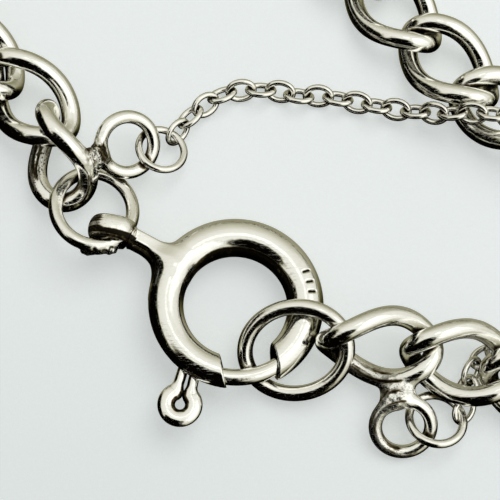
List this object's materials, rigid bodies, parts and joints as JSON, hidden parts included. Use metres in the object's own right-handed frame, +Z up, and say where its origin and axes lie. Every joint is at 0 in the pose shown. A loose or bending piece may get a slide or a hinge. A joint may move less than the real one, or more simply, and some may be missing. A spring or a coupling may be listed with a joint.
{
  "type": "curb chain bracelet",
  "caption": "Silver curb chain bracelet, closed by a sprung bolt ring, with a fine safety chain; it lies flat in a loop as when taken off the wrist.",
  "frame": {"origin": "on the surface that the bracelet lies on, in the middle of the whole loop's box", "axes": "+Z up from the surface; X along the loop's longest extent, with the clasp towards -X and -Y; the clasp's thumb lever points towards -Y"},
  "size_m": [0.0756, 0.0606, 0.0062],
  "materials": {
    "bright_silver": "polished sterling silver, rubbed bright on top, with brown tarnish in the recesses",
    "worn_silver": "worn sterling silver wire, lightly tarnished"
  },
  "bodies": {
    "bracelet": {"clasp_body": "bright_silver", "jump_ring_right": "worn_silver", "curb_link_01": "bright_silver", "curb_link_02": "bright_silver", "curb_link_03": "bright_silver", "curb_link_04": "bright_silver", "curb_link_05": "bright_silver", "curb_link_06": "bright_silver", "curb_link_07": "bright_silver", "curb_link_08": "bright_silver", "curb_link_09": "bright_silver", "curb_link_10": "bright_silver", "curb_link_11": "bright_silver", "curb_link_12": "bright_silver", "curb_link_13": "bright_silver", "curb_link_14": "bright_silver", "curb_link_15": "bright_silver", "curb_link_16": "bright_silver", "curb_link_17": "bright_silver", "curb_link_18": "bright_silver", "curb_link_19": "bright_silver", "curb_link_20": "bright_silver", "curb_link_21": "bright_silver", "curb_link_22": "bright_silver", "curb_link_23": "bright_silver", "curb_link_24": "bright_silver", "curb_link_25": "bright_silver", "curb_link_26": "bright_silver", "curb_link_27": "bright_silver", "curb_link_28": "bright_silver", "curb_link_29": "bright_silver", "jump_ring_left": "worn_silver", "safety_ring_right": "worn_silver", "safety_ring_left": "worn_silver", "safety_chain": "worn_silver"},
    "bolt": {"clasp_bolt": "bright_silver"}
  },
  "joints": [
    {"name": "bolt_slide", "type": "hinge", "parent": "bracelet", "child": "bolt", "pos_m": [-0.01127, -0.01632, 0.0018], "axis": [-0.0617, -0.0855, -0.9944], "range_deg": [0, 45], "stiffness_Nm_per_rad": 0.0005, "springref_deg": -20.05}
  ]
}
